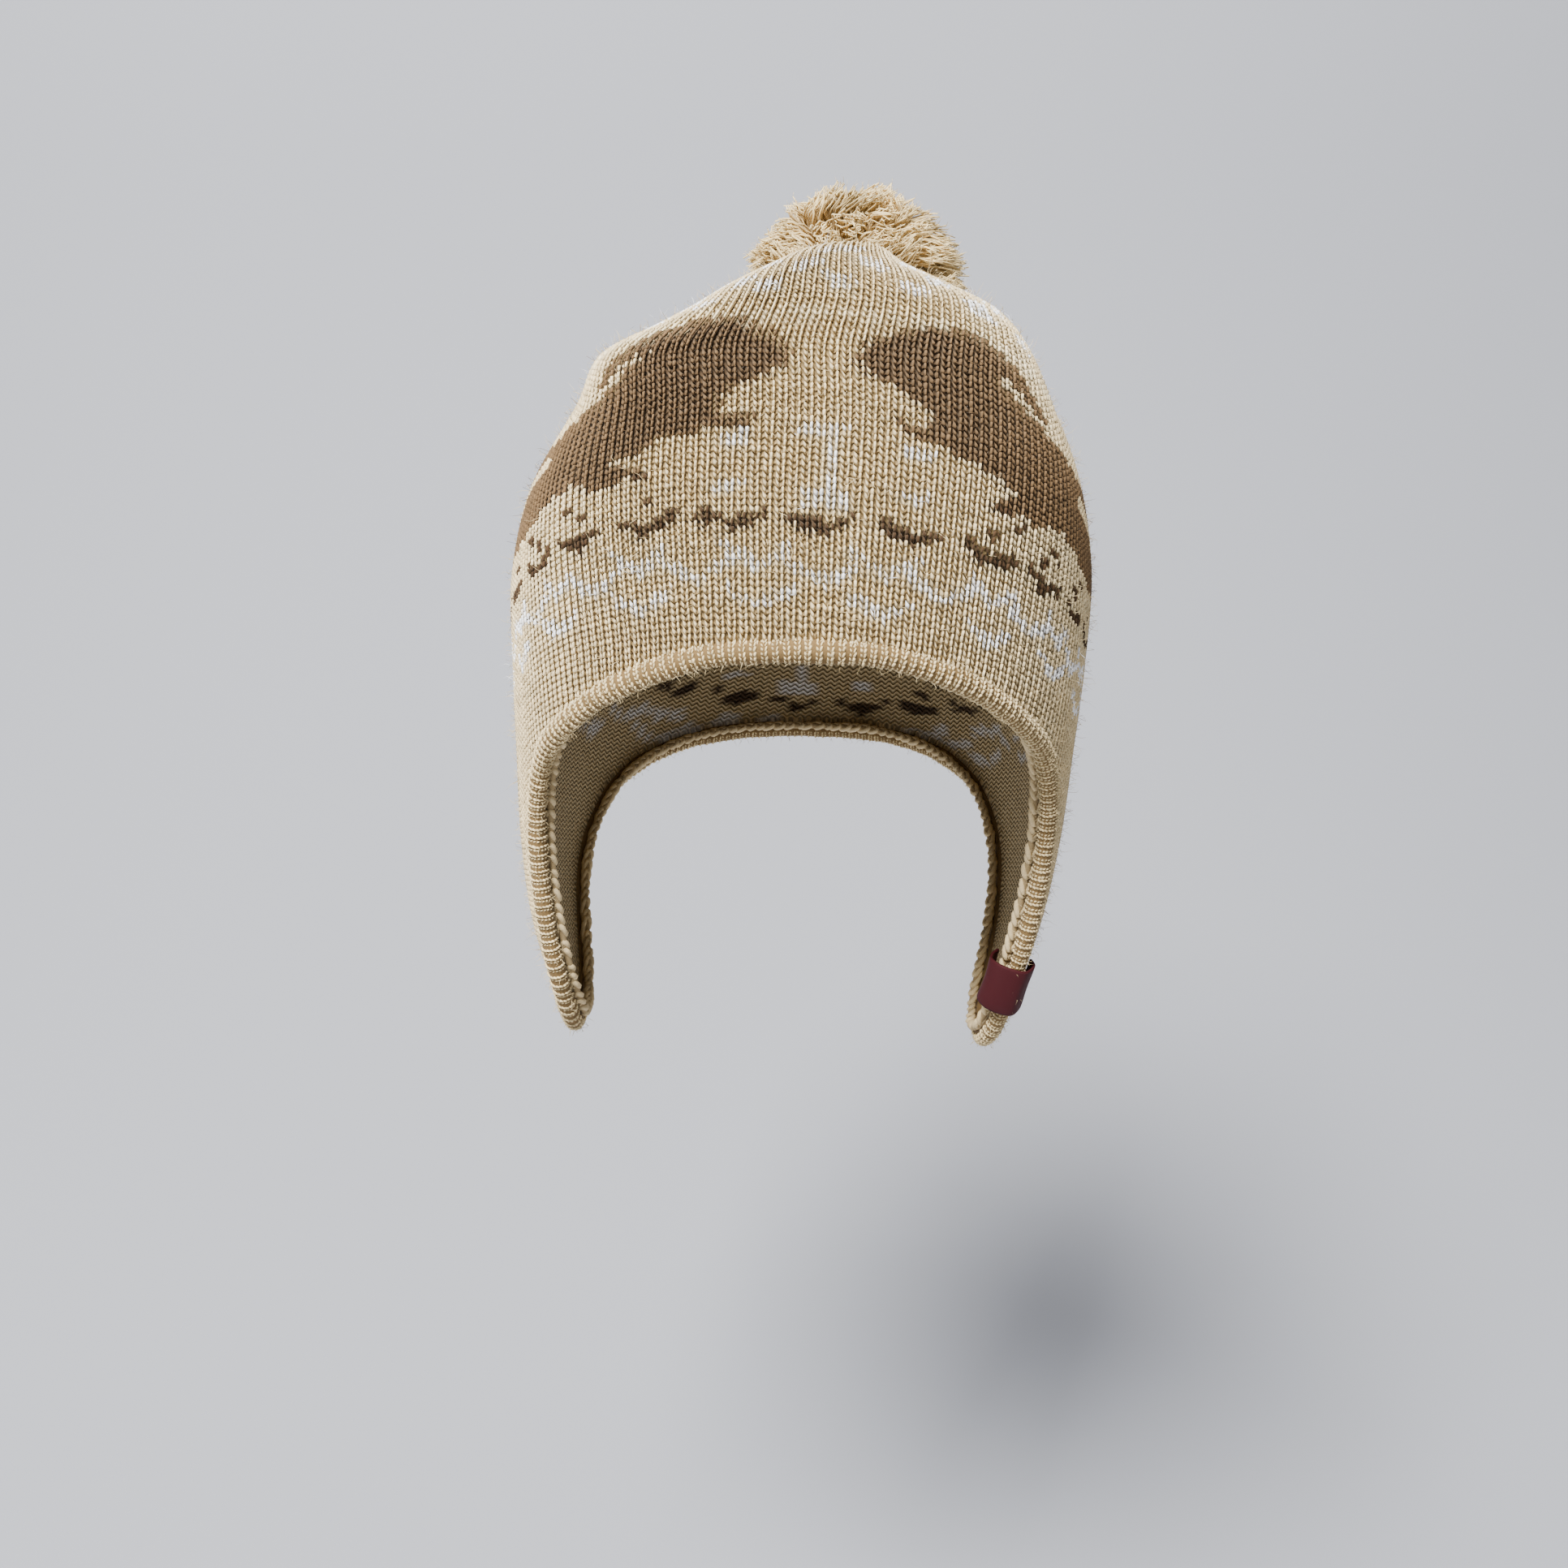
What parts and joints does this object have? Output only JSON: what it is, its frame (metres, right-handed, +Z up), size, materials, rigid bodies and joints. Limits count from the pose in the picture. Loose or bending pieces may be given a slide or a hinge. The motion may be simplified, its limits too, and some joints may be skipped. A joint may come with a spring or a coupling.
{
  "type": "earflap beanie",
  "caption": "Knitted earflap beanie with a rolled edge band, a pompom at the crown and leaping fish knitted in, open below for the head.",
  "frame": {"origin": "where the top of the head touches the hat from inside", "axes": "+Z up through the crown, the face opening towards -Y, the red label's flap towards +X"},
  "size_m": [0.1638, 0.1966, 0.2549],
  "materials": {
    "knit": "jersey knit of beige, brown and white wool",
    "band_knit": "rolled beige knit",
    "seam_yarn": "overlocked beige yarn",
    "label_weave": "dark red woven tape",
    "pompom_yarn": "cut golden beige yarn"
  },
  "bodies": {
    "root": {"crown": "knit", "edge_binding": "band_knit", "seam_roll": "seam_yarn", "label": "label_weave", "pompom": "pompom_yarn"}
  },
  "joints": []
}
